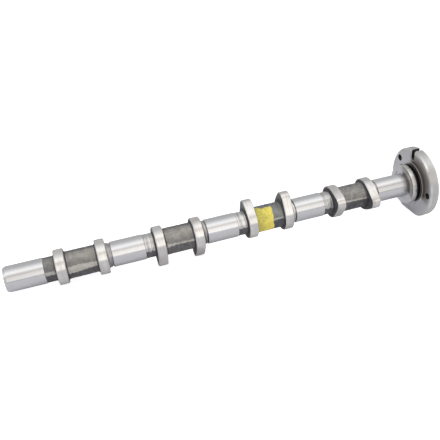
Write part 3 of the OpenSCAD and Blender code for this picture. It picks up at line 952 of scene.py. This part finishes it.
def coat_skin(x0, u, v):
    """Place (x, angle) of the patch for u along X and v round it, and the radius of its outside.

    Radius = bar + swellings + land + fillet + coat, where the coat falls below the skin at the rim.
    """
    wave = 0.6 * np.sin(v * 9.0 + 0.5) + 0.35 * np.sin(v * 23.0)
    x = x0 + u * (PAINT_LONG + wave)
    crest = np.interp(u, TOP_AT, TOP) + 2.0 * np.sin(u * 17.0)
    a = np.radians(crest + v * (PAINT_END - crest + 6.0 * np.sin(u * 11.0)))
    rim = np.clip(np.minimum(np.minimum(v, 1 - v) * 40, (1 - u) * 14), 0, 1)
    coat = np.where(rim == 0, -UNDER, rim * COAT - COAT_LOW)
    base = np.stack([x, RAW_R * np.cos(a), RAW_R * np.sin(a)], -1)
    rough = 0.10 * swell(base, 5.0, 42) + 0.05 * swell(base, 1.8, 52)
    off_joint = np.abs(np.degrees(a) % 360 - JOINT_DIR) * np.pi / 180 * RAW_R
    land = JOINT_HIGH * step_up(JOINT_HALF_MM - off_joint, 1.2)
    up = np.maximum(x0 + 0.2 + ROOT - x, 0)
    root = ROOT - np.sqrt(np.maximum(ROOT ** 2 - up ** 2, 0))
    return x, a, RAW_R + rough + land + root * 0.98 + coat + COAT_BASE


def paint_mark():
    """The outside of the coat, a sheet deep in the bar and the walls between their borders."""
    u, v = np.meshgrid(np.linspace(0, 1, PAINT_ROWS), np.linspace(0, 1, PAINT_COLUMNS), indexing="ij")
    x, a, r = coat_skin(left_x[2] + CAM_W - 0.2, u, v)
    outer = np.stack([x, r * np.cos(a), r * np.sin(a)], -1)
    deep = np.stack([x, (RAW_R - DEEP) * np.cos(a), (RAW_R - DEEP) * np.sin(a)], -1)
    n = u.size
    quads = grid_faces(PAINT_ROWS, PAINT_COLUMNS, closed=False)
    border = np.concatenate([
        np.arange(PAINT_COLUMNS), np.arange(1, PAINT_ROWS) * PAINT_COLUMNS + PAINT_COLUMNS - 1,
        n - 2 - np.arange(PAINT_COLUMNS - 1), np.arange(PAINT_ROWS - 2, 0, -1) * PAINT_COLUMNS])
    following = np.roll(border, -1)
    walls = np.stack([following, border, border + n, following + n], -1)
    faces = quads.tolist() + (quads[:, ::-1] + n).tolist() + walls.tolist()
    points = np.concatenate([outer.reshape(-1, 3), deep.reshape(-1, 3)])
    return hand_in("paint_mark", points, faces, [paint], [0] * len(faces), 50.0)


mark = paint_mark()
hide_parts("camshaft")
print("paint mark:", len(mark.data.polygons), "faces")

# %% [markdown]
# ## The bench
# The shaft lies on a pale bench. Left alone it would tip until the flat of the flange and the nose
# of the fourth cam touch, so the bench is drawn through those two places and leans by two degrees
# in the frame of the shaft. It is painted board, dull and almost white, which gives a soft shadow
# and no reflection, and it has painted shade behind the shaft, where it turns greyer. A glow that
# only camera rays see makes it look white without lighting the iron from below.

# %% Bench
SHADE_FROM, SHADE_TO, SHADE_SHARE = 0.0, 0.2, 0.85  # painted shade: from and to how many metres behind the shaft, and how grey it gets
GLOW = 0.75
bench, tree = new_material("bench_white")
place = add(tree, "TexCoord").outputs["Object"]
grain = add(tree, "TexNoise", Vector=place, Scale=3.0)
pale = add(tree, "ValToRGB", stops=[(0.3, "#e4e5ea"), (0.7, "#e8e9ee")], Fac=grain)
depth = add(tree, "SeparateXYZ", Vector=place).outputs["Y"]
shade = add(tree, "MapRange", {"interpolation_type": "SMOOTHSTEP"}, i0=depth, i1=SHADE_FROM, i2=SHADE_TO,
            i3=0.0, i4=SHADE_SHARE)
pale = add(tree, "Mix", {"data_type": "RGBA"}, i0=shade, i6=pale, i7=srgb("#8c8c90")).outputs[2]
seen = add(tree, "LightPath").outputs["Is Camera Ray"]
glow = add(tree, "Math", {"operation": "MULTIPLY"}, i0=seen, i1=GLOW)
skin = add(tree, "BsdfPrincipled", Base_Color=pale, Roughness=0.9, Emission_Color=(1, 1, 1, 1),
           Emission_Strength=glow)
add(tree, "OutputMaterial", Surface=skin)

# Where the flat of the flange and the nose of the fourth cam touch the bench, as (x, z) in mm
TOUCH_1, TOUCH_2, BENCH_GAP = (END_X, FLAT_Z), (-249.0, -26.4), 0.3
lean = (TOUCH_1[1] - TOUCH_2[1]) / (TOUCH_1[0] - TOUCH_2[0])
corners = np.array([[-5000, -4000], [5000, -4000], [5000, 6000], [-5000, 6000]], float)
heights = TOUCH_1[1] + lean * (corners[:, 0] - TOUCH_1[0]) - BENCH_GAP
mesh = bpy.data.meshes.new("bench")
mesh.from_pydata((np.column_stack([corners, heights]) * MM).tolist(), [], [(0, 1, 2, 3)])
mesh.materials.append(bench)
bench_top = bpy.data.objects.new("bench", mesh)
bpy.context.scene.collection.objects.link(bench_top)
print(f"the bench leans {np.degrees(np.arctan(lean)):.2f} degrees")

# %% [markdown]
# ## The light
# Bright metal shows its surroundings more than itself. The studio is therefore a sky with a few
# broad bands: a white ceiling, a grey wall behind and a white one in front, with a dim strip where
# wall meets bench. Lamps could do it too, but each would leave a hard spot on the iron. The front
# wall is brightest a little to the right of the middle and falls off to both sides.

# %% Studio
# Brightness of the studio, as seen in a direction round the shaft
BANDS = ((-180, 0.7), (-20, 0.6), (2, 0.66), (16, 0.66), (36, 0.68), (58, 0.78), (76, 1.10), (98, 1.55),
         (108, 1.50), (118, 1.20), (128, 1.14), (138, 1.62), (168, 1.84), (175, 1.0), (180, 0.80))
WARM_FROM, WARM_TO, WARM_BLUE, COOL_BLUE = 104, 175, 0.94, 1.01
LIT_AT, FALL, LIT_LEAST = 0.17, 3.3, 0.5
FRONT_FROM, FRONT_TO = 108, 132
HALF = 0.5  # the ramp's colours end at 1, so they are halved, and the strength makes up for it


def band(degrees):
    """Place on the sky's ramp of a direction, in degrees from +Y towards +Z."""
    return (degrees + 180) / 360


def band_colour(degrees, light):
    """Linear colour of a band: the front of the ceiling and the front wall are a little warmer."""
    blue = WARM_BLUE if WARM_FROM < degrees < WARM_TO else COOL_BLUE
    return light * HALF, light * HALF * (1 + blue) / 2, light * HALF * blue


sky = bpy.data.worlds.new("studio")
sky.use_nodes = True
tree = sky.node_tree
tree.nodes.clear()
look = add(tree, "SeparateXYZ", Vector=add(tree, "TexCoord").outputs["Generated"])
turn = add(tree, "Math", {"operation": "ARCTAN2"}, i0=look.outputs["Z"], i1=look.outputs["Y"])
part = add(tree, "MapRange", i0=turn, i1=-np.pi, i2=np.pi)
band_stops = [(band(degrees), band_colour(degrees, light)) for degrees, light in BANDS]
bands = add(tree, "ValToRGB", stops=band_stops, Fac=part)
aside = add(tree, "Math", {"operation": "SUBTRACT"}, i0=look.outputs["X"], i1=LIT_AT)
aside = add(tree, "Math", {"operation": "MULTIPLY"}, i0=aside, i1=aside)
lit = add(tree, "Math", {"operation": "MULTIPLY_ADD"}, i0=aside, i1=-FALL, i2=1.0)
lit = add(tree, "Math", {"operation": "MAXIMUM"}, i0=lit, i1=LIT_LEAST)
front = add(tree, "MapRange", {"interpolation_type": "SMOOTHSTEP"}, i0=part, i1=band(FRONT_FROM),
            i2=band(FRONT_TO))
lit = add(tree, "Mix", {"data_type": "FLOAT"}, i0=front, i2=1.0, i3=lit)
strength = add(tree, "Math", {"operation": "MULTIPLY"}, i0=lit, i1=1 / HALF)
light = add(tree, "Background", Color=bands, Strength=strength)
add(tree, "OutputWorld", Surface=light)
bpy.context.scene.world = sky
print(len(BANDS), "bands of light")
